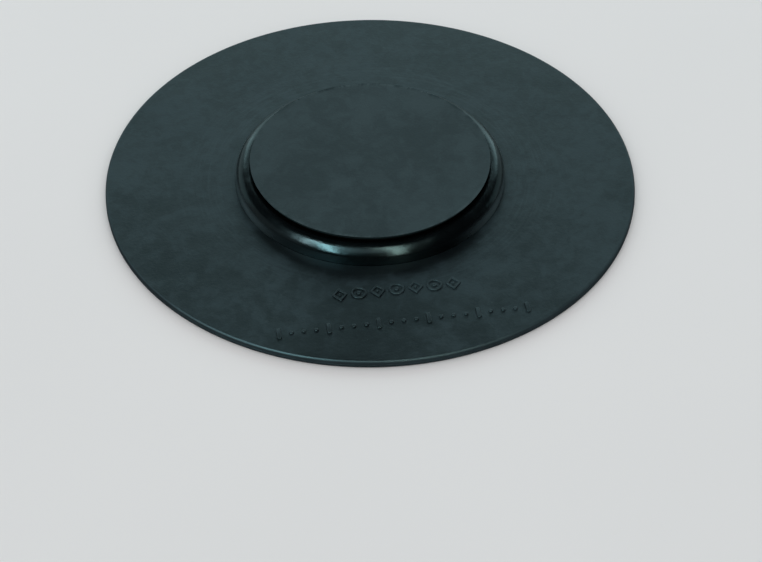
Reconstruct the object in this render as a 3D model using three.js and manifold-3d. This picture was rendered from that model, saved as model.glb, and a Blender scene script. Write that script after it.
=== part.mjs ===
// A drummer's practice pad that lies on a 14-inch snare drum: a rubber mat with a raised playing disc on a
// flexible waist, and a rolled ring round its foot. Millimetres, +Z up, origin under the centre of the mat.
// The two rows of raised marks run along X on the -Y side, which is the side nearest the player.
import * as THREE from 'three';
import { mergeVertices } from 'three/addons/utils/BufferGeometryUtils.js';
import Module from 'manifold-3d';

const wasm = await Module();
wasm.setup();

// Driving dimensions of the mat
const padRadius = 177;
const matThickness = 5;
const topRimRound = 1.6;
const bottomRimRound = 0.8;
const webThickness = 2.5;
const fitClearance = 0.3;

// The playing disc, the plate under it and how far they can be driven down
const discRadius = 80.1;
const discUndercut = 0.8;
const discThickness = 2;
const plateThickness = 2;
const raisedHeight = 15.4;
const strikeTravel = 1.5;
const strikeClearance = 0.4;

// The rolled ring and the waist
const rollRadius = 8.5;
const rollCentreOutset = 1.4;
const sleeveWall = 2.7;

// The cover that closes the pocket from below
const coverFlangeThickness = 1.2;
const coverInset = 0.3;
const coverLedge = 4;
const coverInnerMargin = 2;
const ventCount = 6;
const ventRadius = 1.5;
const ventCircleShare = 0.6;

// Grip grooves moulded into the underside
const grooveCount = 4;
const grooveWidth = 3;
const grooveDepth = 1;
const grooveMargin = 12;

// Raised marks. A row's kinds repeat outwards from its middle, so that each row is the same left and right.
const markRelief = 0.8;
const markRootDepth = 0.5;
const markRimMargin = 9;
const lozenge = { width: 10.4, height: 12.5, cornerShare: 0.42 };
const roundMark = { width: 10.4, height: 10.4, cornerShare: 0.29 };
const bar = { width: 3, height: 9, cornerShare: 0.25 };
const dot = { width: 3, height: 3, cornerShare: 0.29 };
const upperRow = { kinds: [roundMark, lozenge], pitch: 12.1, bandShare: 0.264, mostEachSide: 3 };
const lowerRow = { kinds: [dot, dot, bar, dot], pitch: 7.85, bandShare: 0.598, mostEachSide: Infinity };

// Facets
const turnSegments = 72;
const rollSegments = 14;
const rimSegments = 3;
const ventSegments = 16;

// Derived heights
const matTop = matThickness;
const discTop = matTop + raisedHeight;
const discBottom = discTop - discThickness;
const plateBottom = discBottom - plateThickness;
const rollCrest = discBottom - strikeTravel - strikeClearance;
const rollCentreHeight = rollCrest - rollRadius;

// Derived radii, worked from the disc outwards and then inwards
const rollCentreRadius = discRadius + rollCentreOutset;
const rollInnerRadius = rollCentreRadius - rollRadius;
const rollSunk = Math.max(0, matTop - rollCentreHeight);
const creaseRadius = rollCentreRadius + Math.sqrt(rollRadius ** 2 - rollSunk ** 2);
const mouthRadius = creaseRadius + fitClearance;
const sleeveOuterRadius = rollInnerRadius - fitClearance;
const sleeveInnerRadius = sleeveOuterRadius - sleeveWall;
const coreRadius = sleeveInnerRadius - fitClearance;
const coverRebateRadius = coreRadius - coverInnerMargin;
const coverFlangeRadius = coverRebateRadius - fitClearance;
const webInnerRadius = coverRebateRadius - coverLedge;
const coverBossRadius = webInnerRadius - fitClearance;
const coverRebateDepth = coverInset + coverFlangeThickness + fitClearance;
const bandWidth = padRadius - mouthRadius;

const gumRubber = new THREE.MeshStandardMaterial({ color: 0x2f3d41, roughness: 0.55, metalness: 0 });
const polishedRubber = new THREE.MeshStandardMaterial({ color: 0x14181a, roughness: 0.25, metalness: 0 });
const waistRubber = new THREE.MeshStandardMaterial({ color: 0x0d0f10, roughness: 0.7, metalness: 0 });
const discRubber = new THREE.MeshStandardMaterial({ color: 0x303c3f, roughness: 0.6, metalness: 0 });
const fibreBoard = new THREE.MeshStandardMaterial({ color: 0x4a3524, roughness: 0.8, metalness: 0 });
const cellRubber = new THREE.MeshStandardMaterial({ color: 0x24272a, roughness: 0.9, metalness: 0 });
const coverRubber = new THREE.MeshStandardMaterial({ color: 0x1b1e20, roughness: 0.6, metalness: 0 });

// Points [radius, height] on an arc, from one angle to another in degrees, both ends included.
function arc(centreRadius, centreHeight, radius, fromDegrees, toDegrees, steps) {
  const points = [];
  for (let i = 0; i <= steps; i += 1) {
    const angle = THREE.MathUtils.degToRad(fromDegrees + ((toDegrees - fromDegrees) * i) / steps);
    points.push([centreRadius + radius * Math.cos(angle), centreHeight + radius * Math.sin(angle)]);
  }
  return points;
}

// Turns a profile of [radius, height] points about the Z axis. The profile runs anticlockwise.
function turned(profile) {
  const points = profile.map(([radius, height]) => new THREE.Vector2(radius, height));
  return new THREE.LatheGeometry(points, turnSegments).rotateX(Math.PI / 2);
}

// A ring's profile closes on itself.
function turnedRing(profile) {
  return turned([...profile, profile[0]]);
}

// The same surface as a solid that can be joined and cut.
function solid(geometry) {
  const bare = geometry.clone();
  bare.deleteAttribute('normal');
  bare.deleteAttribute('uv');
  const merged = mergeVertices(bare, 1e-4);
  const corners = merged.index.array;
  const triangles = [];
  for (let i = 0; i < corners.length; i += 3) {
    const [a, b, c] = [corners[i], corners[i + 1], corners[i + 2]];
    if (a !== b && b !== c && c !== a) triangles.push(a, b, c);
  }
  const mesh = new wasm.Mesh({
    numProp: 3,
    vertProperties: new Float32Array(merged.attributes.position.array),
    triVerts: new Uint32Array(triangles),
  });
  return new wasm.Manifold(mesh);
}

function geometryOf(body) {
  const { vertProperties, triVerts } = body.getMesh();
  const geometry = new THREE.BufferGeometry();
  geometry.setAttribute('position', new THREE.BufferAttribute(new Float32Array(vertProperties), 3));
  geometry.setIndex(new THREE.BufferAttribute(new Uint32Array(triVerts), 1));
  geometry.computeVertexNormals();
  return geometry;
}

// The grooves as V-shaped dips in the underside, from the innermost outwards.
function groovePoints() {
  const first = mouthRadius + grooveMargin;
  const last = padRadius - grooveMargin;
  const points = [];
  for (let i = 0; i < grooveCount; i += 1) {
    const middle = first + ((last - first) * i) / (grooveCount - 1);
    points.push([middle - grooveWidth / 2, 0], [middle, grooveDepth], [middle + grooveWidth / 2, 0]);
  }
  return points;
}

function matBody() {
  const rimCentre = padRadius - topRimRound;
  const profile = [
    [webInnerRadius, coverRebateDepth],
    [coverRebateRadius, coverRebateDepth],
    [coverRebateRadius, 0],
    ...groovePoints(),
    ...arc(padRadius - bottomRimRound, bottomRimRound, bottomRimRound, -90, 0, rimSegments),
    ...arc(rimCentre, matTop - topRimRound, topRimRound, 0, 90, rimSegments),
    [mouthRadius, matTop],
    [mouthRadius, webThickness],
    [webInnerRadius, webThickness],
  ];
  return solid(turnedRing(profile));
}

// A raised block with cut corners, standing on the mat and rooted in it.
function mark({ width, height, cornerShare }, x, y) {
  const right = width / 2;
  const top = height / 2;
  const cutX = width * cornerShare;
  const cutY = height * cornerShare;
  const outline = new THREE.Shape([
    new THREE.Vector2(right, cutY - top),
    new THREE.Vector2(right, top - cutY),
    new THREE.Vector2(right - cutX, top),
    new THREE.Vector2(cutX - right, top),
    new THREE.Vector2(-right, top - cutY),
    new THREE.Vector2(-right, cutY - top),
    new THREE.Vector2(cutX - right, -top),
    new THREE.Vector2(right - cutX, -top),
  ]);
  const options = { depth: markRelief + markRootDepth, bevelEnabled: false };
  const block = new THREE.ExtrudeGeometry(outline, options);
  return solid(block.translate(x, y, matTop - markRootDepth));
}

// A straight row of marks, centred on X, at a share of the way from the ring to the rim. It is as long as
// the mat has room for, up to its own number of marks on each side of the middle one.
function markRow({ kinds, pitch, bandShare, mostEachSide }) {
  const y = mouthRadius + bandWidth * bandShare;
  const widest = Math.max(...kinds.map((kind) => kind.width));
  const tallest = Math.max(...kinds.map((kind) => kind.height));
  const reach = padRadius - markRimMargin;
  const halfRoom = Math.sqrt(reach ** 2 - (y + tallest / 2) ** 2) - widest / 2;
  const eachSide = Math.min(mostEachSide, Math.floor(halfRoom / pitch));
  const marks = [];
  for (let i = -eachSide; i <= eachSide; i += 1) {
    marks.push(mark(kinds[Math.abs(i) % kinds.length], i * pitch, -y));
  }
  return marks;
}

function baseMatGeometry() {
  const marks = [...markRow(upperRow), ...markRow(lowerRow)];
  return geometryOf(marks.reduce((mat, block) => mat.add(block), matBody()));
}

// Half round on a straight foot. A roll whose centre lies below the mat's top starts part way round.
function rollRingGeometry() {
  const creaseAngle = THREE.MathUtils.radToDeg(Math.asin(rollSunk / rollRadius));
  return turnedRing([
    [rollInnerRadius, webThickness],
    [creaseRadius, webThickness],
    ...arc(rollCentreRadius, rollCentreHeight, rollRadius, creaseAngle, 180, rollSegments),
  ]);
}

function neckSleeveGeometry() {
  return turnedRing([
    [sleeveInnerRadius, webThickness],
    [sleeveOuterRadius, webThickness],
    [sleeveOuterRadius, discBottom],
    [sleeveInnerRadius, discBottom],
  ]);
}

function discGeometry(bottomRadius, topRadius, bottom, top) {
  return turned([[0, bottom], [bottomRadius, bottom], [topRadius, top], [0, top]]);
}

function bottomCoverGeometry() {
  const flangeTop = coverInset + coverFlangeThickness;
  const blank = solid(turned([
    [0, coverInset],
    [coverFlangeRadius, coverInset],
    [coverFlangeRadius, flangeTop],
    [coverBossRadius, flangeTop],
    [coverBossRadius, webThickness],
    [0, webThickness],
  ]));
  let cover = blank;
  for (let i = 0; i < ventCount; i += 1) {
    const angle = (i * 2 * Math.PI) / ventCount;
    const drill = new THREE.CylinderGeometry(ventRadius, ventRadius, 4 * webThickness, ventSegments);
    drill.rotateX(Math.PI / 2);
    drill.translate(
      ventCircleShare * coverBossRadius * Math.cos(angle),
      ventCircleShare * coverBossRadius * Math.sin(angle),
      0,
    );
    cover = cover.subtract(solid(drill));
  }
  return geometryOf(cover);
}

const pad = new THREE.Group();

function addPiece(name, geometry, material) {
  const piece = new THREE.Mesh(geometry, material);
  piece.name = name;
  pad.add(piece);
}

addPiece('base_mat', baseMatGeometry(), gumRubber);
addPiece('roll_ring', rollRingGeometry(), polishedRubber);
addPiece('neck_sleeve', neckSleeveGeometry(), waistRubber);
const playingDisc = discGeometry(discRadius - discUndercut, discRadius, discBottom, discTop);
addPiece('playing_disc', playingDisc, discRubber);
addPiece('stroke_plate', discGeometry(coreRadius, coreRadius, plateBottom, discBottom), fibreBoard);
addPiece('rebound_core', discGeometry(coreRadius, coreRadius, webThickness, plateBottom), cellRubber);
addPiece('bottom_cover', bottomCoverGeometry(), coverRubber);

export default pad;
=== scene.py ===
# %% [markdown]
# # A drummer's practice pad
# A real pad of this kind is a mat of slate-black rubber that drops inside the hoop of a 14-inch snare drum.
# A playing disc stands proud of its middle on a soft waist, and a glossy rolled ring lies round its foot.
# Every piece is a body of revolution, so most of the modelling is drawing one good section and turning it.
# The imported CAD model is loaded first, because every size and place below is read from it.

# %% Load the frame
import math

import bmesh
import bpy
from mathutils import Matrix, Vector, noise


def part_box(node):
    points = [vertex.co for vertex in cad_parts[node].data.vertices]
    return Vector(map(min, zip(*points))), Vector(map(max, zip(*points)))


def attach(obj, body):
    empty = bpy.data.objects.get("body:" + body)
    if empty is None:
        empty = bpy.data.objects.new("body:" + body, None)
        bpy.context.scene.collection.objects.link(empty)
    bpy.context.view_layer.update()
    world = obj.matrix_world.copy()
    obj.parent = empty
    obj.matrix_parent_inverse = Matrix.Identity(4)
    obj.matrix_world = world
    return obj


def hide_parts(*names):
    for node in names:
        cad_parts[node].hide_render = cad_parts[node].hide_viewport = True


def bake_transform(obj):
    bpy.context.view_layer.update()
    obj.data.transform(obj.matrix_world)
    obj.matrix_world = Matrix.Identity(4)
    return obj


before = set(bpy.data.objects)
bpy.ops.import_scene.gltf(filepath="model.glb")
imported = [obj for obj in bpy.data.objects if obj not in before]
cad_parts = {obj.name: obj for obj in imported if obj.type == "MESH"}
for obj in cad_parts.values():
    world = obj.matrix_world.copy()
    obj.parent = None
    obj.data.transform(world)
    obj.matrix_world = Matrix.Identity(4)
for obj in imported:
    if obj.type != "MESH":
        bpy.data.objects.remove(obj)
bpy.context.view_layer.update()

# %% [markdown]
# ## Sizes
# The overall radii and heights come from the CAD nodes' boxes, so that the looks follow the design when it
# changes. Only what is too fine for the CAD solids has a value of its own here, in metres.

# %% Sizes read from the frame
MM = 0.001


def outer_radius(node):
    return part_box(node)[1].x


def lowest(node):
    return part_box(node)[0].z


def highest(node):
    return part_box(node)[1].z


MARK_RELIEF = 0.8 * MM
PAD_RADIUS = outer_radius("base_mat")
MAT_TOP = highest("base_mat") - MARK_RELIEF
DISC_RADIUS = outer_radius("playing_disc")
DISC_TOP = highest("playing_disc")
DISC_BOTTOM = lowest("playing_disc")
CREASE_RADIUS = outer_radius("roll_ring")
ROLL_CREST = highest("roll_ring")
WEB_TOP = lowest("roll_ring")
SLEEVE_RADIUS = outer_radius("neck_sleeve")
CORE_RADIUS = outer_radius("rebound_core")
CORE_TOP = highest("rebound_core")
COVER_RADIUS = outer_radius("bottom_cover")
COVER_BOTTOM = lowest("bottom_cover")
COVER_TOP = highest("bottom_cover")
FIT_GAP = 0.3 * MM
MOUTH_RADIUS = CREASE_RADIUS + FIT_GAP
ROLL_RADIUS = (CREASE_RADIUS - SLEEVE_RADIUS - FIT_GAP) / 2
ROLL_MIDDLE_RADIUS = CREASE_RADIUS - ROLL_RADIUS
ROLL_MIDDLE_HEIGHT = ROLL_CREST - ROLL_RADIUS
radii = {"pad": PAD_RADIUS, "disc": DISC_RADIUS, "crease": CREASE_RADIUS}
print("radii in mm", {name: round(radius / MM, 1) for name, radius in radii.items()})

# %% [markdown]
# ## Turning a section
# A lathe is the honest way to make a round moulding. The section is a list of (radius, height) points that
# runs anticlockwise, so the faces point outwards. A point on the axis becomes one shared vertex, which keeps
# the poles closed. Round stretches are arcs, so the section keeps only the points that its shape needs.

# %% Helpers for sections and turned meshes
TURNS = 360
SMOOTH_BELOW = math.radians(35)


def arc(middle_radius, middle_height, radius, start, stop, steps):
    """Points on an arc, from one angle to another in degrees, with both ends."""
    angles = [math.radians(start + (stop - start) * i / steps) for i in range(steps + 1)]
    return [(middle_radius + radius * math.cos(a), middle_height + radius * math.sin(a)) for a in angles]


def new_object(name, mesh):
    piece = bpy.data.objects.new(name, mesh)
    bpy.context.collection.objects.link(piece)
    return piece


def shade(mesh):
    mesh.shade_smooth()
    mesh.set_sharp_from_angle(angle=SMOOTH_BELOW)


def turned(name, section, turns=TURNS, wobble=None):
    """Turns a section about Z. wobble(point number, angle) may add a (radius, height) offset."""
    shape = bmesh.new()
    rings = []
    for k, (radius, height) in enumerate(section):
        if radius < 1e-9:
            rings.append([shape.verts.new((0, 0, height))] * turns)
            continue
        ring = []
        for i in range(turns):
            angle = 2 * math.pi * i / turns
            more_radius, more_height = wobble(k, angle) if wobble else (0, 0)
            r = radius + more_radius
            ring.append(shape.verts.new((r * math.cos(angle), r * math.sin(angle), height + more_height)))
        rings.append(ring)
    for low, high in zip(rings, rings[1:] + rings[:1]):
        for i in range(turns):
            j = (i + 1) % turns
            corners = list(dict.fromkeys([low[i], low[j], high[j], high[i]]))
            if len(corners) > 2:
                shape.faces.new(corners)
    mesh = bpy.data.meshes.new(name)
    shape.to_mesh(mesh)
    shape.free()
    shade(mesh)
    return new_object(name, mesh)


def report(piece):
    """Prints how heavy a mesh is, and whether it is one closed skin."""
    shape = bmesh.new()
    shape.from_mesh(piece.data)
    open_edges = sum(not edge.is_manifold for edge in shape.edges)
    litres = shape.calc_volume(signed=True) * 1000
    print(f"{piece.name}: {len(shape.faces)} faces, {open_edges} open edges, {litres:.4f} litres")
    shape.free()


# %% [markdown]
# ## The camera
# The pad is seen from the player's side, about 43 degrees above it, through a long lens. The rows of marks
# are turned a little anticlockwise to the viewer, so the camera stands a little to the left of the -Y axis.
# It comes before the pieces so that each can be judged through it as it is made.

# %% Camera
VIEW_TURN = math.radians(-8.6)
VIEW_PITCH = math.radians(42.93)
VIEW_ROLL = math.radians(-0.18)
VIEW_DISTANCE = 1.442
VIEW_SIDESTEP = 0.0070
VIEW_RISE = -0.0710
LENS = 101.6

camera = bpy.data.objects.new("camera", bpy.data.cameras.new("camera"))
bpy.context.collection.objects.link(camera)
camera.data.lens = LENS
camera.data.sensor_width = 36
camera.data.clip_start = 0.05
turn = Matrix.Rotation(VIEW_TURN, 3, "Z")
forward = turn @ Vector((0, math.cos(VIEW_PITCH), -math.sin(VIEW_PITCH)))
right = turn @ Vector((1, 0, 0))
up = right.cross(forward)
aim = Vector((0, 0, MAT_TOP))
camera.location = aim - forward * VIEW_DISTANCE + right * VIEW_SIDESTEP + up * VIEW_RISE
axes = Matrix((right, up, -forward)).transposed()
camera.rotation_euler = (axes @ Matrix.Rotation(VIEW_ROLL, 3, "Z")).to_euler()
bpy.context.scene.camera = camera
print("camera at", [round(v, 3) for v in camera.location])

# %% [markdown]
# ## Writing finishes as arithmetic
# A rubber finish is a sum of small things: cloudy bloom, wipe marks, grain and dust. Those read best as
# arithmetic, so a small class wraps a shader socket and turns Python's operators into Math nodes. One method
# makes every other node. What changes over the surface only ever reaches colour, roughness and bump.

# %% Helpers for finishes


class Wire:
    """A number that changes over a surface, held as a socket of a node."""

    def __init__(self, finish, socket):
        self.finish = finish
        self.socket = socket

    def math(self, operation, first, second):
        return self.finish.node("ShaderNodeMath", {"operation": operation}, {0: first, 1: second})["Value"]

    def __add__(self, other):
        return self.math("ADD", self, other)

    def __radd__(self, other):
        return self.math("ADD", other, self)

    def __sub__(self, other):
        return self.math("SUBTRACT", self, other)

    def __rsub__(self, other):
        return self.math("SUBTRACT", other, self)

    def __mul__(self, other):
        return self.math("MULTIPLY", self, other)

    def __truediv__(self, other):
        return self.math("DIVIDE", self, other)

    def __pow__(self, other):
        return self.math("POWER", self, other)


class Finish:
    """One material and the nodes that it is made of."""

    def __init__(self, name):
        self.material = bpy.data.materials.new(name)
        self.material.use_nodes = True
        self.tree = self.material.node_tree
        self.tree.nodes.clear()
        place = self.node("ShaderNodeTexCoord", {}, {})["Object"]
        self.place = place
        parts = self.node("ShaderNodeSeparateXYZ", {}, {"Vector": place})
        self.x, self.y, self.z = parts["X"], parts["Y"], parts["Z"]

    def node(self, kind, settings, values):
        """Makes a node and returns its outputs by name."""
        made = self.tree.nodes.new(kind)
        for key, value in settings.items():
            setattr(made, key, value)
        for key, value in values.items():
            if isinstance(value, Wire):
                self.tree.links.new(value.socket, made.inputs[key])
            else:
                made.inputs[key].default_value = value
        return {socket.name: Wire(self, socket) for socket in made.outputs if socket.enabled}

    def noise(self, scale, detail=3.0, roughness=0.5, distortion=0.0, vector=None):
        """A cloud pattern from 0 to 1, with features of about 1/scale metres."""
        values = {"Scale": scale, "Detail": detail, "Roughness": roughness, "Distortion": distortion}
        values["Vector"] = vector or self.place
        return self.node("ShaderNodeTexNoise", {}, values)["Fac"]

    def band(self, value, low, high):
        """0 where the value is under low, 1 over high, and a smooth step between. low may be above high."""
        settings = {"interpolation_type": "SMOOTHSTEP"}
        values = {"Value": value, "From Min": low, "From Max": high}
        return self.node("ShaderNodeMapRange", settings, values)["Result"]

    def mix(self, share, first, second):
        """A colour between two colours."""
        made = self.tree.nodes.new("ShaderNodeMix")
        made.data_type = "RGBA"
        for socket, value in zip((made.inputs[0], made.inputs[6], made.inputs[7]), (share, first, second)):
            if isinstance(value, Wire):
                self.tree.links.new(value.socket, socket)
            else:
                socket.default_value = value
        return Wire(self, made.outputs[2])

    def radius(self):
        return (self.x * self.x + self.y * self.y) ** 0.5

    def stretched(self, across, along, rise=0.0):
        """Coordinates for marks that run round the pad: fine across the radius and long along it."""
        radius = self.radius()
        values = {
            "X": self.x / radius * along,
            "Y": self.y / radius * along,
            "Z": radius * across + self.z * rise,
        }
        return self.node("ShaderNodeCombineXYZ", {}, values)["Vector"]

    def facing_player(self):
        """1 on the player's side, 0 at right angles to it and -1 behind."""
        reach = math.hypot(*HANDLED_PLACE)
        return (self.x * HANDLED_PLACE[0] + self.y * HANDLED_PLACE[1]) / (self.radius() * reach)

    def math_of(self, operation, value):
        return self.node("ShaderNodeMath", {"operation": operation}, {0: value})["Value"]

    def bump(self, height, depth, below=None):
        values = {"Height": height, "Distance": depth, "Strength": 1.0}
        if below is not None:
            values["Normal"] = below
        return self.node("ShaderNodeBump", {}, values)["Normal"]

    def surface(self, settled, changing):
        """The shader itself: settled values sit on its sockets, and changing ones are linked to them."""
        shader = self.node("ShaderNodeBsdfPrincipled", {}, {**settled, **changing})
        self.node("ShaderNodeOutputMaterial", {}, {"Surface": shader["BSDF"]})
        return self.material


def rgb(red, green, blue):
    return (red, green, blue, 1.0)


# %% [markdown]
# ## Moulded mat rubber
# The mat is a filled natural rubber. It comes from the mould with an even satin skin, and then blooms: waxes
# creep to the surface in cloudy patches, and every wipe leaves arcs round the ring. The gloss is tinted a
# little blue-green, as the whole rubber is. The clouds change colour and roughness together, because a
# bloomed patch is both paler and duller. Painted shade darkens the front of the mat and the ring's foot, and
# a painted sheen lightens the rim.

# %% Finish of the mat
RUBBER_TINT = rgb(0.58, 0.92, 1.0)
RUBBER_GLOSS = {"IOR": 1.5, "Specular Tint": RUBBER_TINT}
HANDLED_PLACE = (-25 * MM, -185 * MM)
SHADE_AND_POLISH_REACH = 85 * MM
SHADE_AND_POLISH_CORE = 25 * MM
WIPED_FROM = 90 * MM
WIPED_FULL = (99 * MM, 104 * MM)
WIPED_TO = 140 * MM
FOOT_SHADE_WIDTH = 16 * MM
RIM_SHEEN_BAND = (1.9 * MM, 0.7 * MM)
TOP_FACE_DEPTH = (1.2 * MM, 0.4 * MM)
MAT_DARK = rgb(0.0020, 0.0010, 0.0026)
MAT_BLOOMED = rgb(0.0125, 0.0185, 0.0240)


def mat_finish():
    rubber = Finish("moulded_mat_rubber")
    radius = rubber.radius()
    clouds = rubber.band(rubber.noise(11, 5, 0.62, 0.4), 0.34, 0.66)
    patches = rubber.band(rubber.noise(38, 4, 0.6, 1.2), 0.38, 0.66)
    mottle = rubber.band(rubber.noise(150, 3, 0.6, 0.6), 0.34, 0.66)
    wipes = rubber.noise(1, 3, 0.55, 0.3, rubber.stretched(520, 3.2))
    by_the_ring = rubber.band(radius, WIPED_FROM, WIPED_FULL[0])
    by_the_ring = by_the_ring * rubber.band(radius, WIPED_TO, WIPED_FULL[1])
    wiped = rubber.band(wipes, 0.42, 0.75) * by_the_ring
    across = rubber.x - HANDLED_PLACE[0]
    along = rubber.y - HANDLED_PLACE[1]
    top_face = rubber.band(rubber.z, MAT_TOP - TOP_FACE_DEPTH[0], MAT_TOP - TOP_FACE_DEPTH[1])
    from_hand = (across * across + along * along) ** 0.5
    # Painted shade over the front of the mat, on the player's side; the same patch is hand-polished to a
    # lower roughness.
    front_shade_and_polish = rubber.band(from_hand, SHADE_AND_POLISH_REACH, SHADE_AND_POLISH_CORE) * top_face
    grain = rubber.noise(1900, 2, 0.5)
    specks = rubber.node("ShaderNodeTexVoronoi", {}, {"Vector": rubber.place, "Scale": 95.0})["Distance"]
    dusty = rubber.band(specks, 0.030, 0.016)
    # Painted sheen: a paler blue-green band round the rim.
    painted_rim_sheen = rubber.band(radius, PAD_RADIUS - RIM_SHEEN_BAND[0], PAD_RADIUS - RIM_SHEEN_BAND[1])
    on_marks = rubber.band(rubber.z, MAT_TOP + 0.6 * MARK_RELIEF, MAT_TOP + MARK_RELIEF)
    speckle = rubber.noise(800, 2, 0.6)
    # Painted shade: the mat is painted darker towards the ring's foot on the player's side.
    painted_foot_shade = rubber.band(radius, MOUTH_RADIUS + FOOT_SHADE_WIDTH, MOUTH_RADIUS)
    painted_foot_shade = painted_foot_shade * rubber.band(rubber.facing_player(), 0.45, 0.85) * top_face
    bloom = clouds * 0.30 + patches * 0.26 + mottle * 0.20 + speckle * 0.30 + wiped * 0.16
    pale = bloom - front_shade_and_polish * 0.26 - painted_foot_shade * 0.60
    colour = rubber.mix(rubber.band(pale, 0.16, 0.84), MAT_DARK, MAT_BLOOMED)
    # The rim band is a painted sheen; the paler tops of the marks are wear.
    colour = rubber.mix(painted_rim_sheen * 0.55 + on_marks * 0.16, colour, rgb(0.030, 0.044, 0.050))
    colour = rubber.mix(dusty * 0.35, colour, rgb(0.10, 0.12, 0.12))
    rough = 0.40 + clouds * 0.08 + patches * 0.05 - wiped * 0.06
    rough = rough - front_shade_and_polish * 0.08 - painted_foot_shade * 0.12 + speckle * 0.04
    relief = rubber.bump(grain, 0.035 * MM)
    relief = rubber.bump(rubber.noise(420, 3, 0.6), 0.09 * MM, relief)
    relief = rubber.bump(wiped, 0.02 * MM, relief)
    relief = rubber.bump(rubber.noise(16, 2, 0.5), 0.9 * MM, relief)
    return rubber.surface(RUBBER_GLOSS, {"Base Color": colour, "Roughness": rough, "Normal": relief})


mat_rubber = mat_finish()
print("finish", mat_rubber.name, len(mat_rubber.node_tree.nodes), "nodes")

# %% [markdown]
# ## The mat's section
# The mat is 5 mm thick with a rounded rim, and a thin parting line runs round the edge where the two mould
# halves met. In the middle it steps down to a thin web that carries the ring and the waist. Four shallow
# grooves underneath stop it from sliding on a drum's batter head. Extra points just inside the rim keep the
# large flat top from being shaded as if it were a dome.

# %% The mat's body
COVER_LEDGE = 3.7 * MM
WEB_INNER_RADIUS = COVER_RADIUS - COVER_LEDGE
REBATE_RADIUS = COVER_RADIUS + FIT_GAP
REBATE_DEPTH = 1.8 * MM
TOP_RIM_ROUND = 1.6 * MM
BOTTOM_RIM_ROUND = 0.8 * MM
PARTING_LINE = 0.12 * MM
GROOVES = 4
GROOVE_WIDTH = 3 * MM
GROOVE_DEPTH = 1 * MM
GROOVE_MARGIN = 12 * MM
SNUG = 0.06 * MM


def groove_points():
    first = MOUTH_RADIUS + GROOVE_MARGIN
    step = (PAD_RADIUS - GROOVE_MARGIN - first) / (GROOVES - 1)
    points = []
    for i in range(GROOVES):
        for k in range(9):
            share = k / 8
            rise = GROOVE_DEPTH * math.sin(math.pi * share) ** 0.8 if 0 < k < 8 else 0
            points.append((first + step * i + GROOVE_WIDTH * (share - 0.5), rise))
    return points


def mat_section():
    side = PAD_RADIUS - PARTING_LINE
    snug = CREASE_RADIUS + SNUG
    low_turn = side - BOTTOM_RIM_ROUND
    high_turn = side - TOP_RIM_ROUND
    parting = (BOTTOM_RIM_ROUND + MAT_TOP - TOP_RIM_ROUND) / 2
    return [
        (WEB_INNER_RADIUS, REBATE_DEPTH),
        (REBATE_RADIUS, REBATE_DEPTH),
        (REBATE_RADIUS, 0),
        *groove_points(),
        (low_turn - 0.2 * MM, 0),
        *arc(low_turn, BOTTOM_RIM_ROUND, BOTTOM_RIM_ROUND, -90, 0, 6),
        *arc(side, parting, PARTING_LINE, -90, 90, 4),
        *arc(high_turn, MAT_TOP - TOP_RIM_ROUND, TOP_RIM_ROUND, 0, 90, 10),
        (high_turn - 0.3 * MM, MAT_TOP),
        (snug + 0.15 * MM, MAT_TOP),
        (snug, MAT_TOP - 0.15 * MM),
        (snug, WEB_TOP),
        (WEB_INNER_RADIUS, WEB_TOP),
    ]


mat = turned("moulded_mat", mat_section())
mat.data.materials.append(mat_rubber)
report(mat)

# %% [markdown]
# ## Raised marks
# The mould leaves two straight rows of raised marks on the player's side: an upper row of drum heads seen
# from above and lozenges, and a lower row of beats and bars. They stand 0.8 mm proud with a slight draft,
# so that the mat lifts out of its mould, and their top edges are rounded. Each kind is modelled once, from an
# outline whose points carry their own outward directions, which makes every inset one line of arithmetic.

# %% Outlines and raised shapes
MARK_ROOT = 0.4 * MM
DRAFTED_EDGE = [
    (0, -MARK_ROOT),
    (0, 0.06 * MM),
    (0.13 * MM, 0.50 * MM),
    (0.20 * MM, 0.66 * MM),
    (0.32 * MM, 0.76 * MM),
    (0.50 * MM, MARK_RELIEF),
]
LINE_WIDTH = 1.7 * MM


def rounded_outline(corners, radius, steps=5):
    """(point, outward direction) pairs round a convex shape with rounded corners, anticlockwise."""
    outline = []
    count = len(corners)
    for i, corner in enumerate(corners):
        before = (corner - corners[i - 1]).normalized()
        after = (corners[(i + 1) % count] - corner).normalized()
        start = Vector((before.y, -before.x))
        stop = Vector((after.y, -after.x))
        middle = corner - (start + stop) * (radius / (1 + start.dot(stop)))
        for k in range(steps + 1):
            out = start.lerp(stop, k / steps).normalized()
            outline.append((middle + out * radius, out))
    return outline


def round_outline(radius, steps=56):
    outs = [Vector((math.cos(a), math.sin(a))) for a in (2 * math.pi * i / steps for i in range(steps))]
    return [(out * radius, out) for out in outs]


def lozenge_outline(half_width, half_height, radius):
    corners = [(half_width, 0), (0, half_height), (-half_width, 0), (0, -half_height)]
    return rounded_outline([Vector(corner) for corner in corners], radius)


def bar_outline(half_width, half_height, radius):
    signs = [(1, -1), (1, 1), (-1, 1), (-1, -1)]
    return rounded_outline([Vector((x * half_width, y * half_height)) for x, y in signs], radius)


def ring_of(shape, outline, inset, height):
    return [shape.verts.new((*(point - out * inset), height)) for point, out in outline]


def skin(shape, rings):
    for low, high in zip(rings, rings[1:]):
        for i in range(len(low)):
            j = (i + 1) % len(low)
            shape.faces.new([low[i], low[j], high[j], high[i]])


def raised_block(shape, outline):
    rings = [ring_of(shape, outline, inset, height) for inset, height in DRAFTED_EDGE]
    skin(shape, rings)
    shape.faces.new(rings[-1])
    shape.faces.new(rings[0][::-1])


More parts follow.
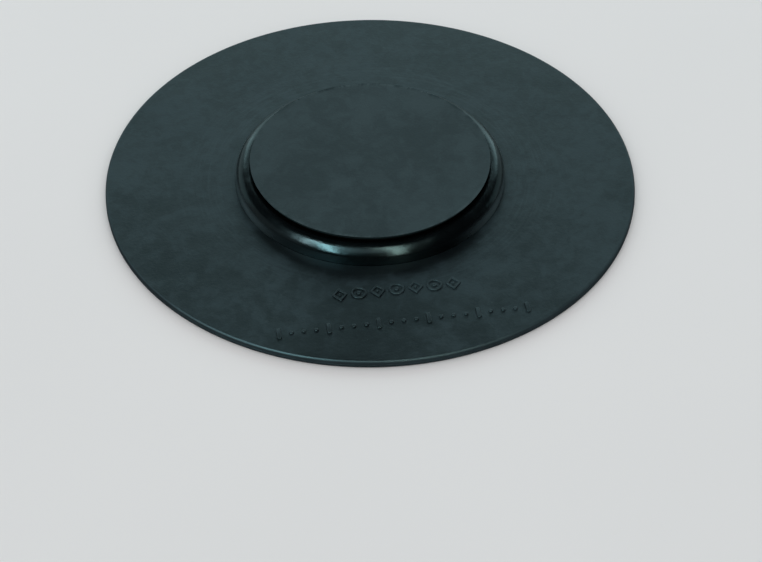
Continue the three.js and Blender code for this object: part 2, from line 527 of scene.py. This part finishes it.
def raised_line(shape, outside, inside):
    """A raised line between two outlines that have the same number of points."""
    outer = [ring_of(shape, outside, inset, height) for inset, height in DRAFTED_EDGE]
    inner = [ring_of(shape, inside, -inset, height) for inset, height in DRAFTED_EDGE[::-1]]
    skin(shape, outer + inner + outer[:1])


def mark_mesh(name, line, block):
    """One kind of mark: a block, with a raised line round it where line gives the line's two edges."""
    shape = bmesh.new()
    if line:
        raised_line(shape, *line)
    raised_block(shape, block)
    mesh = bpy.data.meshes.new(name)
    shape.to_mesh(mesh)
    shape.free()
    marker = new_object(name, mesh)
    report(marker)
    return marker


def round_line(radius):
    return round_outline(radius), round_outline(radius - LINE_WIDTH)


def lozenge_line(half_width, half_height):
    """The inner edge lies one line width inside each side, so its corners draw in further than that."""
    slope = math.hypot(half_width, half_height)
    inner_width = half_width - LINE_WIDTH * slope / half_height
    inner_height = half_height - LINE_WIDTH * slope / half_width
    outside = lozenge_outline(half_width, half_height, 1.0 * MM)
    return outside, lozenge_outline(inner_width, inner_height, 0.6 * MM)


EMBLEM_HALF_WIDTH = 5.2 * MM
LOZENGE_HALF_HEIGHT = 6.25 * MM
BAR_HALF_WIDTH = 1.5 * MM
BAR_HALF_HEIGHT = 4.5 * MM
DOT_STEPS = 28

drum_middle = round_outline(1.7 * MM, DOT_STEPS)
drum_mark = mark_mesh("drum_mark", round_line(EMBLEM_HALF_WIDTH), drum_middle)
lozenge_middle = lozenge_outline(1.2 * MM, 1.5 * MM, 0.6 * MM)
lozenge_edges = lozenge_line(EMBLEM_HALF_WIDTH, LOZENGE_HALF_HEIGHT)
lozenge_mark = mark_mesh("lozenge_mark", lozenge_edges, lozenge_middle)
bar_mark = mark_mesh("bar_mark", None, bar_outline(BAR_HALF_WIDTH, BAR_HALF_HEIGHT, 1.0 * MM))
dot_mark = mark_mesh("dot_mark", None, round_outline(BAR_HALF_WIDTH, DOT_STEPS))

# %% [markdown]
# ## Laying out a row with Geometry Nodes
# A row is one mark repeated along a line, with another kind taking every few places, so it is a small node
# tree: a line of points, two instancers that share them out by their number from the middle, and Realize
# Instances at the end, because only real geometry can be joined to the mat.

# %% The row tree
ROW_INPUTS = [
    ("Each Side", "NodeSocketInt"),
    ("Pitch", "NodeSocketFloat"),
    ("Every", "NodeSocketInt"),
    ("Phase", "NodeSocketInt"),
    ("Row Y", "NodeSocketFloat"),
    ("Row Z", "NodeSocketFloat"),
    ("Common Mark", "NodeSocketObject"),
    ("Accent Mark", "NodeSocketObject"),
    ("Rubber", "NodeSocketMaterial"),
]


class Tree:
    """A Geometry Nodes tree with named inputs, and short ways to add and link its nodes."""

    def __init__(self, name, inputs):
        self.group = bpy.data.node_groups.new(name, "GeometryNodeTree")
        face = self.group.interface
        face.new_socket("Geometry", in_out="OUTPUT", socket_type="NodeSocketGeometry")
        for label, kind in inputs:
            face.new_socket(label, in_out="INPUT", socket_type=kind)
        self.given = self.group.nodes.new("NodeGroupInput").outputs
        self.result = self.group.nodes.new("NodeGroupOutput").inputs["Geometry"]

    def node(self, kind, settings, values):
        made = self.group.nodes.new(kind)
        for key, value in settings.items():
            setattr(made, key, value)
        for key, value in values.items():
            if isinstance(value, bpy.types.NodeSocket):
                self.group.links.new(value, made.inputs[key])
            else:
                made.inputs[key].default_value = value
        return made.outputs

    def maths(self, operation, first, second):
        return self.node("ShaderNodeMath", {"operation": operation}, {0: first, 1: second})["Value"]

    def finish(self, geometry, material):
        real = self.node("GeometryNodeRealizeInstances", {}, {"Geometry": geometry})["Geometry"]
        coloured = self.node("GeometryNodeSetMaterial", {}, {"Geometry": real, "Material": material})
        self.group.links.new(coloured["Geometry"], self.result)
        return self.group


def grown(name, group, values):
    """Runs a tree on an empty mesh and returns its result as a plain mesh object."""
    host = new_object(name, bpy.data.meshes.new(name))
    modifier = host.modifiers.new("grow", "NODES")
    modifier.node_group = group
    for item in group.interface.items_tree:
        if item.in_out == "INPUT" and item.name in values:
            modifier[item.identifier] = values[item.name]
    depsgraph = bpy.context.evaluated_depsgraph_get()
    mesh = bpy.data.meshes.new_from_object(host.evaluated_get(depsgraph))
    host.modifiers.remove(modifier)
    host.data = mesh
    return host


def row_tree():
    tree = Tree("mark_row", ROW_INPUTS)
    given = tree.given
    count = tree.maths("ADD", tree.maths("MULTIPLY", given["Each Side"], 2.0), 1.0)
    left_end = tree.maths("MULTIPLY", tree.maths("MULTIPLY", given["Each Side"], given["Pitch"]), -1.0)
    start = tree.node("ShaderNodeCombineXYZ", {}, {"X": left_end, "Y": given["Row Y"], "Z": given["Row Z"]})
    step = tree.node("ShaderNodeCombineXYZ", {}, {"X": given["Pitch"]})
    values = {"Count": count, "Start Location": start["Vector"], "Offset": step["Vector"]}
    points = tree.node("GeometryNodeMeshLine", {"mode": "OFFSET"}, values)["Mesh"]
    index = tree.node("GeometryNodeInputIndex", {}, {})["Index"]
    from_middle = tree.maths("ABSOLUTE", tree.maths("SUBTRACT", index, given["Each Side"]), 0.0)
    rest = tree.maths("MODULO", from_middle, given["Every"])
    same = {0: rest, 1: given["Phase"], 2: 0.1}
    accent = tree.node("ShaderNodeMath", {"operation": "COMPARE"}, same)["Value"]
    common = tree.maths("SUBTRACT", 1.0, accent)
    rows = tree.group.nodes.new("GeometryNodeJoinGeometry")
    for chosen, label in ((common, "Common Mark"), (accent, "Accent Mark")):
        shape = tree.node("GeometryNodeObjectInfo", {}, {"Object": given[label]})["Geometry"]
        values = {"Points": points, "Selection": chosen, "Instance": shape}
        placed = tree.node("GeometryNodeInstanceOnPoints", {}, values)
        tree.group.links.new(placed["Instances"], rows.inputs["Geometry"])
    return tree.finish(rows.outputs["Geometry"], given["Rubber"])


# %% [markdown]
# ## The two rows
# Their places follow the flat band between the ring and the rim, as in the CAD design. The lower row is as
# long as the mat's chord there has room for.

# %% Grow the rows and join them to the mat
RIM_MARGIN = 9 * MM
BAND = PAD_RADIUS - MOUTH_RADIUS


def marks_each_side(row_y, mark_width, mark_height, pitch):
    reach = PAD_RADIUS - RIM_MARGIN
    half_room = math.sqrt(reach**2 - (abs(row_y) + mark_height / 2) ** 2) - mark_width / 2
    return math.floor(half_room / pitch)


def row(name, share, pitch, each_side, common, accent, every, phase):
    values = {
        "Each Side": each_side,
        "Pitch": pitch,
        "Every": every,
        "Phase": phase,
        "Row Y": -(MOUTH_RADIUS + BAND * share),
        "Row Z": MAT_TOP,
        "Common Mark": common,
        "Accent Mark": accent,
        "Rubber": mat_rubber,
    }
    return grown(name, mark_rows, values)


mark_rows = row_tree()
UPPER_SHARE = 0.264
UPPER_PITCH = 12.1 * MM
UPPER_EACH_SIDE = 3
LOWER_SHARE = 0.598
LOWER_PITCH = 7.85 * MM
lower_y = MOUTH_RADIUS + BAND * LOWER_SHARE
lower_each_side = marks_each_side(lower_y, 2 * BAR_HALF_WIDTH, 2 * BAR_HALF_HEIGHT, LOWER_PITCH)
upper = row("upper_marks", UPPER_SHARE, UPPER_PITCH, UPPER_EACH_SIDE, drum_mark, lozenge_mark, 2, 1)
lower = row("lower_marks", LOWER_SHARE, LOWER_PITCH, lower_each_side, dot_mark, bar_mark, 4, 2)
report(upper)
report(lower)


def applied(piece):
    """Replaces a piece's mesh by the result of its modifiers."""
    depsgraph = bpy.context.evaluated_depsgraph_get()
    mesh = bpy.data.meshes.new_from_object(piece.evaluated_get(depsgraph))
    piece.modifiers.clear()
    piece.data = mesh
    return piece


def joined(piece, others, operation):
    for other in others:
        modifier = piece.modifiers.new("join", "BOOLEAN")
        modifier.operation = operation
        modifier.solver = "EXACT"
        modifier.object = other
    applied(piece)
    for other in others:
        bpy.data.objects.remove(other)


joined(mat, [upper, lower], "UNION")
for marker in (drum_mark, lozenge_mark, bar_mark, dot_mark):
    bpy.data.objects.remove(marker)
shade(mat.data)
report(mat)
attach(mat, "root")
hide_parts("base_mat")

# %% [markdown]
# ## Polished ring rubber
# The ring at the disc's foot is the one glossy piece. It is solid black rubber off a polished mould, with
# faint flow lines round it, so its highlights are long, soft at the ends and a little broken. Hands only
# polish the player's side, and the rear stays duller. The low flank at the sides carries a painted sheen.

# %% Finish of the ring
FLANK_SHEEN_TOP = 8.5 * MM
FLANK_SHEEN_FULL = 3.5 * MM
RING_BLACK = (rgb(0.0004, 0.0005, 0.0007), rgb(0.0016, 0.0019, 0.0024))
RING_UNPOLISHED = rgb(0.0060, 0.0085, 0.0110)
RING_FLANK_SHEEN = rgb(0.054, 0.080, 0.088)


def ring_finish():
    rubber = Finish("polished_ring_rubber")
    flow = rubber.noise(1, 3, 0.5, 0.2, rubber.stretched(900, 5.0, 900))
    brushed = rubber.noise(1, 2, 0.6, 0.1, rubber.stretched(2600, 14.0, 2600))
    smears = rubber.band(rubber.noise(70, 4, 0.6, 0.8), 0.45, 0.75)
    cloudy = rubber.noise(120, 4, 0.6, 0.6)
    low = rubber.band(rubber.z, MAT_TOP + FLANK_SHEEN_TOP, MAT_TOP + FLANK_SHEEN_FULL)
    facing = rubber.facing_player()
    unpolished = rubber.band(facing, -0.22, -0.60)
    # The bloom mask here is a painted sheen: the low flank at the sides is painted paler, and rougher, so
    # that it blends into the mat.
    bloom = low * rubber.band(facing, 0.85, 0.40) * (cloudy * 0.4 + 0.8) * (1 - unpolished * 0.85)
    colour = rubber.mix(smears * 0.6 + flow * 0.3, *RING_BLACK)
    colour = rubber.mix(unpolished * 0.7, colour, RING_UNPOLISHED)
    colour = rubber.mix(bloom * 0.9, colour, RING_FLANK_SHEEN)
    rough = 0.18 + smears * 0.05 + flow * 0.05 + bloom * 0.25 + unpolished * 0.22
    relief = rubber.bump(brushed, 0.075 * MM)
    relief = rubber.bump(rubber.noise(560, 2, 0.6), 0.035 * MM, relief)
    relief = rubber.bump(flow, 0.03 * MM, relief)
    relief = rubber.bump(rubber.noise(45, 2, 0.5), 0.35 * MM, relief)
    return rubber.surface(RUBBER_GLOSS, {"Base Color": colour, "Roughness": rough, "Normal": relief})


ring_rubber = ring_finish()
print("finish", ring_rubber.name, len(ring_rubber.node_tree.nodes), "nodes")

# %% [markdown]
# ## The rolled ring
# Its section is half a circle on a straight foot that drops into the mat's mouth. Hand-finished rubber is
# never perfectly even, so the section swells and shrinks by a few hundredths of a millimetre on its way
# round, which is enough to bend a highlight.

# %% The ring's body
ROLL_STEPS = 32
ROLL_SWELL = 0.07 * MM


def roll_section():
    return [
        (ROLL_MIDDLE_RADIUS - ROLL_RADIUS, WEB_TOP),
        (CREASE_RADIUS, WEB_TOP),
        (CREASE_RADIUS, MAT_TOP - 0.3 * MM),
        *arc(ROLL_MIDDLE_RADIUS, ROLL_MIDDLE_HEIGHT, ROLL_RADIUS, 0, 180, ROLL_STEPS),
    ]


def roll_swell(k, angle):
    """Only the round stretch swells, most at its crest, and always inwards, to stay inside its size."""
    first = 3
    if k < first:
        return (0, 0)
    share = math.sin(math.pi * (k - first) / ROLL_STEPS)
    place = Vector((math.cos(angle), math.sin(angle), 0)) * 2.2
    swell = ROLL_SWELL * share * (noise.noise(place) - 1) / 2
    around = math.pi * (k - first) / ROLL_STEPS
    return (swell * math.cos(around), swell * math.sin(around))


ring = turned("rolled_ring", roll_section(), TURNS, roll_swell)
ring.data.materials.append(ring_rubber)
report(ring)
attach(ring, "root")
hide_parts("roll_ring")

# %% [markdown]
# ## The waist
# Between the ring and the disc is a flexible sleeve of soft black rubber, seen only as the dark recess under
# the disc's edge. It is pinched in the middle, as a bellows is, so that it folds the same way each time the
# disc is struck. It has to stretch between two bodies, so it is blended across the joint. It is a foam piece.

# %% The waist's finish and body
SLEEVE_WALL = SLEEVE_RADIUS - CORE_RADIUS - FIT_GAP
SLEEVE_PINCH = 1.1 * MM
SLEEVE_STEPS = 12


def soft_finish(name, dark, pale, pore_size, pore_depth):
    foam = Finish(name)
    pores = foam.node("ShaderNodeTexVoronoi", {}, {"Vector": foam.place, "Scale": 1 / pore_size})["Distance"]
    clouds = foam.noise(60, 3, 0.6)
    open_pores = foam.band(pores, 0.42, 0.12)
    colour = foam.mix(clouds * 0.6 + open_pores * 0.3, dark, pale)
    relief = foam.bump(open_pores, -pore_depth)
    settled = {"IOR": 1.45, "Specular IOR Level": 0.3}
    return foam.surface(settled, {"Base Color": colour, "Roughness": 0.72 + clouds * 0.15, "Normal": relief})


def waist_section():
    height = DISC_BOTTOM - WEB_TOP
    wall = []
    for k in range(SLEEVE_STEPS + 1):
        share = k / SLEEVE_STEPS
        wall.append((SLEEVE_RADIUS - SLEEVE_PINCH * math.sin(math.pi * share) ** 2, WEB_TOP + height * share))
    inside = SLEEVE_RADIUS - SLEEVE_WALL
    return [*wall, (inside, DISC_BOTTOM), (inside, WEB_TOP)]


WAIST_TONES = (rgb(0.0018, 0.0020, 0.0021), rgb(0.0060, 0.0066, 0.0068))
waist_rubber = soft_finish("waist_foam_rubber", *WAIST_TONES, 0.5 * MM, 0.05 * MM)
waist = turned("waist_sleeve", waist_section())
waist.data.materials.append(waist_rubber)
report(waist)
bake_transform(waist)
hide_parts("neck_sleeve")

# %% [markdown]
# ## Playing-disc rubber
# The disc is cut from calendered sheet, so its face is evener and duller than the moulded mat, with a fine
# sanded grain. Sticks leave faint polished dabs near its middle. Its cut side is bare, darker rubber with
# the die's drag lines running round it.

# %% Finish of the disc
PLAYED_REACH = 62 * MM
PLAYED_CORE = 18 * MM
DISC_FACE = (rgb(0.0044, 0.0038, 0.0068), rgb(0.0160, 0.0226, 0.0272))
DISC_CUT = (rgb(0.0008, 0.0010, 0.0012), rgb(0.0034, 0.0040, 0.0046))


def disc_finish():
    rubber = Finish("playing_disc_rubber")
    radius = rubber.radius()
    clouds = rubber.band(rubber.noise(13, 4, 0.55, 0.3), 0.34, 0.66)
    small_clouds = rubber.band(rubber.noise(75, 4, 0.6, 0.6), 0.36, 0.66)
    grain = rubber.noise(900, 2, 0.6)
    dabs = rubber.node("ShaderNodeTexVoronoi", {}, {"Vector": rubber.place, "Scale": 140.0})["Distance"]
    played = rubber.band(dabs, 0.34, 0.16) * rubber.band(radius, PLAYED_REACH, PLAYED_CORE)
    drag = rubber.noise(1, 3, 0.6, 0, rubber.stretched(60, 9, 3200))
    cut_side = rubber.band(rubber.z, DISC_TOP - 0.05 * MM, DISC_TOP - 0.35 * MM)
    pale = clouds * 0.34 + small_clouds * 0.24 + grain * 0.45
    colour = rubber.mix(rubber.band(pale, 0.18, 0.84), *DISC_FACE)
    colour = rubber.mix(played * 0.12, colour, rgb(0.003, 0.004, 0.005))
    colour = rubber.mix(cut_side * 0.9, colour, rubber.mix(drag, *DISC_CUT))
    rough = 0.50 + clouds * 0.06 + grain * 0.03 - played * 0.06 + cut_side * 0.12
    relief = rubber.bump(grain, 0.03 * MM)
    relief = rubber.bump(rubber.noise(480, 3, 0.6), 0.07 * MM, relief)
    relief = rubber.bump(drag * cut_side, 0.12 * MM, relief)
    relief = rubber.bump(rubber.noise(14, 2, 0.5), 0.5 * MM, relief)
    return rubber.surface(RUBBER_GLOSS, {"Base Color": colour, "Roughness": rough, "Normal": relief})


disc_rubber = disc_finish()
print("finish", disc_rubber.name, len(disc_rubber.node_tree.nodes), "nodes")

# %% [markdown]
# ## The playing disc
# A die cuts the disc with a razor-sharp top edge and a slightly undercut side. A die also tears a little, so
# the edge wanders by a tenth of a millimetre or less and lifts a burr of up to a few tenths here and there.
# Both come from a fixed noise field and not from a random call, so every run gives the same disc.

# %% The disc's body
EDGE_TURNS = 1080
EDGE_WANDER = 0.09 * MM
EDGE_LAND = 0.35 * MM
DISC_UNDERCUT = 0.8 * MM
BURR = 0.25 * MM


def disc_section():
    bottom_radius = DISC_RADIUS - DISC_UNDERCUT
    thickness = DISC_TOP - DISC_BOTTOM
    return [
        (0, DISC_BOTTOM),
        (bottom_radius, DISC_BOTTOM),
        (bottom_radius + 0.10 * MM, DISC_BOTTOM + thickness / 3),
        (bottom_radius + 0.35 * MM, DISC_BOTTOM + thickness * 2 / 3),
        (DISC_RADIUS, DISC_TOP - 0.06 * MM),
        (DISC_RADIUS - EDGE_LAND, DISC_TOP),
        (DISC_RADIUS - 3 * MM, DISC_TOP),
        (0, DISC_TOP),
    ]


def torn_edge(k, angle):
    """Moves the cut side in and out, most at the top edge, where the die also lifts a burr here and there."""
    share = {1: 0.5, 2: 0.4, 3: 0.6, 4: 1.0}.get(k, 0)
    place = Vector((math.cos(angle), math.sin(angle), 0.13 * k))
    coarse = noise.noise(place * 14)
    fine = noise.noise(place * 90)
    burr = BURR * max(0, coarse + 0.8 * fine + 0.25) if k == 4 else 0
    return (EDGE_WANDER * share * (0.5 * coarse + 0.5 * fine - 1), burr)


disc = turned("playing_disc_sheet", disc_section(), EDGE_TURNS, torn_edge)
disc.data.materials.append(disc_rubber)
report(disc)

# %% [markdown]
# ## Nibs on the cut edge
# The cut leaves a few dozen nibs of torn rubber along the top edge. They repeat along a circle at uneven
# places and sizes, which is work for Geometry Nodes: points on a circle, thinned and sized by random values
# with fixed seeds, each carrying one small sliver that lies along the edge.

# %% Grow the nibs
NIB_LENGTH = 1.5 * MM
NIB_WIDTH = 0.20 * MM
NIB_RISE = 0.32 * MM


def sliver_mesh():
    """A closed sliver along X that stands up in the middle and is pointed at its ends."""
    shape = bmesh.new()
    left = shape.verts.new((-NIB_LENGTH / 2, 0, 0))
    right_end = shape.verts.new((NIB_LENGTH / 2, 0, 0))
    belt = [(0, NIB_WIDTH / 2, 0), (0, 0, NIB_RISE), (0, -NIB_WIDTH / 2, 0), (0, 0, -NIB_WIDTH / 3)]
    around = [shape.verts.new(place) for place in belt]
    for i in range(4):
        j = (i + 1) % 4
        shape.faces.new([around[i], around[j], right_end])
        shape.faces.new([around[j], around[i], left])
    bmesh.ops.recalc_face_normals(shape, faces=shape.faces)
    mesh = bpy.data.meshes.new("nib")
    shape.to_mesh(mesh)
    shape.free()
    return new_object("nib", mesh)


def nib_tree():
    inputs = [
        ("Edge Radius", "NodeSocketFloat"),
        ("Edge Height", "NodeSocketFloat"),
        ("Places", "NodeSocketInt"),
        ("Share", "NodeSocketFloat"),
        ("Seed", "NodeSocketInt"),
        ("Nib", "NodeSocketObject"),
        ("Rubber", "NodeSocketMaterial"),
    ]
    tree = Tree("nibs_on_edge", inputs)
    given = tree.given
    circle = {"Vertices": given["Places"], "Radius": given["Edge Radius"]}
    edge = tree.node("GeometryNodeMeshCircle", {}, circle)["Mesh"]
    lift = tree.node("ShaderNodeCombineXYZ", {}, {"Z": given["Edge Height"]})["Vector"]
    raised = tree.node("GeometryNodeSetPosition", {}, {"Geometry": edge, "Offset": lift})["Geometry"]
    chance = {"Probability": given["Share"], "Seed": given["Seed"]}
    chosen = tree.node("FunctionNodeRandomValue", {"data_type": "BOOLEAN"}, chance)
    index = tree.node("GeometryNodeInputIndex", {}, {})["Index"]
    whole_turn = tree.maths("DIVIDE", 2 * math.pi, given["Places"])
    angle = tree.maths("ADD", tree.maths("MULTIPLY", index, whole_turn), math.pi / 2)
    facing = tree.node("ShaderNodeCombineXYZ", {}, {"Z": angle})["Vector"]
    sizes = tree.group.nodes.new("FunctionNodeRandomValue")
    sizes.data_type = "FLOAT"
    sizes.inputs["Min"].default_value = 0.35
    sizes.inputs["Max"].default_value = 1.25
    tree.group.links.new(given["Seed"], sizes.inputs["Seed"])
    shape = tree.node("GeometryNodeObjectInfo", {}, {"Object": given["Nib"]})["Geometry"]
    values = {
        "Points": raised,
        "Selection": next(socket for socket in chosen if socket.enabled),
        "Instance": shape,
        "Rotation": facing,
        "Scale": next(socket for socket in sizes.outputs if socket.enabled),
    }
    placed = tree.node("GeometryNodeInstanceOnPoints", {}, values)["Instances"]
    return tree.finish(placed, given["Rubber"])


nib = sliver_mesh()
nib_values = {
    "Edge Radius": DISC_RADIUS - 0.10 * MM,
    "Edge Height": DISC_TOP - 0.08 * MM,
    "Places": 220,
    "Share": 0.36,
    "Seed": 7,
    "Nib": nib,
    "Rubber": disc_rubber,
}
nibs = grown("edge_nibs", nib_tree(), nib_values)
bpy.data.objects.remove(nib)
report(nibs)
for piece in (disc, nibs):
    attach(piece, "striking_head")
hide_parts("playing_disc")

# %% [markdown]
# ## The stroke plate
# Under the disc is a stiff plate of dense fibreboard, which spreads the blow. Its CAD solid already has the
# right shape, so the node stays and only takes a finish: pressed fibres, a few dark flecks and a faint
# sanded sheen.

# %% Finish of the plate
def board_finish():
    board = Finish("pressed_fibre_board")
    mapping = {"Vector": board.place, "Scale": (90, 900, 400)}
    along = board.node("ShaderNodeMapping", {"vector_type": "POINT"}, mapping)["Vector"]
    fibres = board.noise(1, 5, 0.6, 1.0, along)
    flecks = board.band(board.noise(700, 2, 0.5), 0.66, 0.74)
    colour = board.mix(fibres, rgb(0.040, 0.020, 0.010), rgb(0.125, 0.072, 0.038))
    colour = board.mix(flecks * 0.6, colour, rgb(0.020, 0.011, 0.006))
    relief = board.bump(fibres, 0.05 * MM)
    rough = 0.62 + fibres * 0.2
    return board.surface({"IOR": 1.45}, {"Base Color": colour, "Roughness": rough, "Normal": relief})


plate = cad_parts["stroke_plate"]
plate.data.materials.clear()
plate.data.materials.append(board_finish())
print("plate finish", plate.data.materials[0].name)

# %% [markdown]
# ## The rebound core
# A puck of fine-pored cellular rubber fills the pocket and pushes the disc back up. Its side bulges a little
# where the plate rests on it. It shortens with each stroke, so it is blended like the waist.

# %% The core's body
CORE_BULGE = 0.12 * MM
CORE_TONES = (rgb(0.010, 0.011, 0.013), rgb(0.030, 0.033, 0.037))


def core_section():
    side = []
    for k in range(9):
        share = k / 8
        bulge = CORE_BULGE * (math.sin(math.pi * share) - 1)
        side.append((CORE_RADIUS + bulge, WEB_TOP + (CORE_TOP - WEB_TOP) * share))
    return [(0, WEB_TOP), *side, (0, CORE_TOP)]


core = turned("rebound_puck", core_section(), 180)
core.data.materials.append(soft_finish("cellular_core_rubber", *CORE_TONES, 0.9 * MM, 0.25 * MM))
report(core)
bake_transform(core)
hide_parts("rebound_core")

# %% [markdown]
# ## The bottom cover
# A thin disc closes the pocket from below. It is pressed against cloth in its mould, so its face carries a
# fine weave, which two crossed sine waves draw. Six vent holes let the core breathe. The holes repeat round a
# circle, so Geometry Nodes place the drills, and one Boolean cuts them all.

# %% Finish of the cover
WEAVE_PITCH = 1.4 * MM


def cover_finish():
    rubber = Finish("cloth_pressed_rubber")
    turns_per_metre = 2 * math.pi / WEAVE_PITCH
    warp = rubber.math_of("SINE", rubber.x * turns_per_metre)
    weft = rubber.math_of("SINE", rubber.y * turns_per_metre)
    weave = warp * weft * 0.5 + 0.5
    face = rubber.band(rubber.z, COVER_BOTTOM + 0.05 * MM, COVER_BOTTOM + 0.01 * MM)
    clouds = rubber.noise(25, 4, 0.6, 0.5)
    colour = rubber.mix(clouds * 0.7 + weave * 0.2, rgb(0.006, 0.008, 0.009), rgb(0.020, 0.024, 0.026))
    relief = rubber.bump(weave * face, 0.10 * MM)
    rough = 0.5 + clouds * 0.15
    return rubber.surface(RUBBER_GLOSS, {"Base Color": colour, "Roughness": rough, "Normal": relief})


# %% The cover's body and its vents
VENTS = 6
VENT_RADIUS = 1.5 * MM
VENT_CIRCLE_SHARE = 0.6
FLANGE_TOP = COVER_BOTTOM + 1.2 * MM
BOSS_RADIUS = WEB_INNER_RADIUS - FIT_GAP


def cover_section():
    chamfer = 0.3 * MM
    return [
        (0, COVER_BOTTOM),
        (COVER_RADIUS - chamfer, COVER_BOTTOM),
        (COVER_RADIUS, COVER_BOTTOM + chamfer),
        (COVER_RADIUS, FLANGE_TOP),
        (BOSS_RADIUS, FLANGE_TOP),
        (BOSS_RADIUS, COVER_TOP),
        (0, COVER_TOP),
    ]


def vent_tree():
    inputs = [
        ("Vents", "NodeSocketInt"),
        ("Circle Radius", "NodeSocketFloat"),
        ("Vent Radius", "NodeSocketFloat"),
        ("Length", "NodeSocketFloat"),
        ("Rubber", "NodeSocketMaterial"),
    ]
    tree = Tree("vent_drills", inputs)
    given = tree.given
    ring_values = {"Vertices": given["Vents"], "Radius": given["Circle Radius"]}
    places = tree.node("GeometryNodeMeshCircle", {}, ring_values)["Mesh"]
    size = {"Vertices": 40, "Radius": given["Vent Radius"], "Depth": given["Length"]}
    drill = tree.node("GeometryNodeMeshCylinder", {}, size)["Mesh"]
    placed = tree.node("GeometryNodeInstanceOnPoints", {}, {"Points": places, "Instance": drill})["Instances"]
    return tree.finish(placed, given["Rubber"])


cover = turned("pocket_cover", cover_section(), 180)
cover_rubber = cover_finish()
cover.data.materials.append(cover_rubber)
drill_values = {
    "Vents": VENTS,
    "Circle Radius": VENT_CIRCLE_SHARE * BOSS_RADIUS,
    "Vent Radius": VENT_RADIUS,
    "Length": 10 * MM,
    "Rubber": cover_rubber,
}
drills = grown("vent_drills", vent_tree(), drill_values)
joined(cover, [drills], "DIFFERENCE")
shade(cover.data)
report(cover)
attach(cover, "root")
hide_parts("bottom_cover")

# %% [markdown]
# ## Floor and light
# The pad lies on a plain pale floor. Black rubber is mostly seen by what it mirrors, so the lights are laid
# out as in a product studio. A broad cool bank behind, with a weaker wall on each side of it, is what the
# flat faces pick up at a glancing angle. Three tall strips on the player's side draw the ring's highlights,
# and light nothing matt. An even fill lights only matt surfaces, so that the floor stays pale without
# greying the rubber, and the floor is not mirrored, or it would show as a pale line in the glossy ring.

# %% The floor
FLOOR_HALF = 4.0
floor_mesh = bpy.data.meshes.new("floor")
floor_corners = [(x * FLOOR_HALF, y * FLOOR_HALF, -0.2 * MM) for x, y in ((-1, -1), (1, -1), (1, 1), (-1, 1))]
floor_mesh.from_pydata(floor_corners, [], [(0, 1, 2, 3)])
floor = new_object("floor", floor_mesh)
paper = Finish("pale_floor")
floor_tone = paper.mix(paper.noise(3, 2, 0.5), rgb(0.78, 0.78, 0.78), rgb(0.82, 0.82, 0.82))
floor_shader = paper.surface({"Specular IOR Level": 0.1, "Roughness": 0.9}, {"Base Color": floor_tone})
floor_mesh.materials.append(floor_shader)
floor.visible_glossy = False

# %% The lights
BANK_TINT = (0.74, 0.98, 1.0)
WARM_TINT = (1.0, 1.0, 0.86)


def softbox(name, azimuth, elevation, distance, width, height, radiance, tint=(1, 1, 1), tilt=0.0):
    """A soft light in a direction seen from the camera: azimuth 0 is behind the pad, 90 is to the right."""
    a = math.radians(azimuth)
    e = math.radians(elevation)
    towards = turn @ Vector((math.sin(a) * math.cos(e), math.cos(a) * math.cos(e), math.sin(e)))
    lamp = bpy.data.lights.new(name, "AREA")
    lamp.shape = "RECTANGLE"
    lamp.size = width
    lamp.size_y = height
    lamp.energy = radiance * math.pi * width * height
    lamp.color = tint
    box = bpy.data.objects.new(name, lamp)
    bpy.context.collection.objects.link(box)
    box.visible_camera = False
    box.location = towards * distance
    facing = (-towards).to_track_quat("-Z", "Y").to_matrix()
    box.rotation_euler = (facing @ Matrix.Rotation(math.radians(tilt), 3, "Z")).to_euler()
    return box


softbox("rear_bank", 2, 22, 3.0, 3.3, 1.6, 1.64, BANK_TINT)
softbox("left_rear", -46, 10, 3.0, 2.6, 1.8, 0.46, BANK_TINT)
softbox("right_rear", 48, 10, 3.0, 2.6, 1.8, 0.33, BANK_TINT)
softbox("left_wall", -100, 18, 3.0, 3.4, 1.6, 0.20)
softbox("front_hood", -178, 62, 3.0, 2.6, 2.0, 0.55)
for strip in (
    softbox("main_strip", -140, 48, 2.6, 0.36, 2.7, 19.0, BANK_TINT, 23),
    softbox("side_strip", -116, 50, 2.6, 0.34, 2.3, 9.5, (1, 1, 1), 26),
    softbox("small_strip", 155, 51, 2.6, 0.20, 4.0, 14.0, WARM_TINT, -7),
):
    strip.visible_diffuse = False

# %% The room
world = bpy.data.worlds.new("studio")
bpy.context.scene.world = world
world.use_nodes = True
sky = world.node_tree
sky.nodes.clear()
ROOM_SEEN = (0.86, 0.87, 0.88, 1)
ROOM_MIRRORED = (0.020, 0.020, 0.023, 1)
ROOM_FILL = (0.665, 0.665, 0.670, 1)


def backdrop(colour):
    shader = sky.nodes.new("ShaderNodeBackground")
    shader.inputs["Color"].default_value = colour
    return shader.outputs["Background"]


def chosen_by(ray, otherwise, when_true):
    mixer = sky.nodes.new("ShaderNodeMixShader")
    sky.links.new(rays.outputs[ray], mixer.inputs[0])
    sky.links.new(otherwise, mixer.inputs[1])
    sky.links.new(when_true, mixer.inputs[2])
    return mixer.outputs["Shader"]


rays = sky.nodes.new("ShaderNodeLightPath")
dull = chosen_by("Is Glossy Ray", backdrop(ROOM_FILL), backdrop(ROOM_MIRRORED))
seen = chosen_by("Is Camera Ray", dull, backdrop(ROOM_SEEN))
sky.links.new(seen, sky.nodes.new("ShaderNodeOutputWorld").inputs["Surface"])
bpy.context.scene.view_settings.view_transform = "Standard"
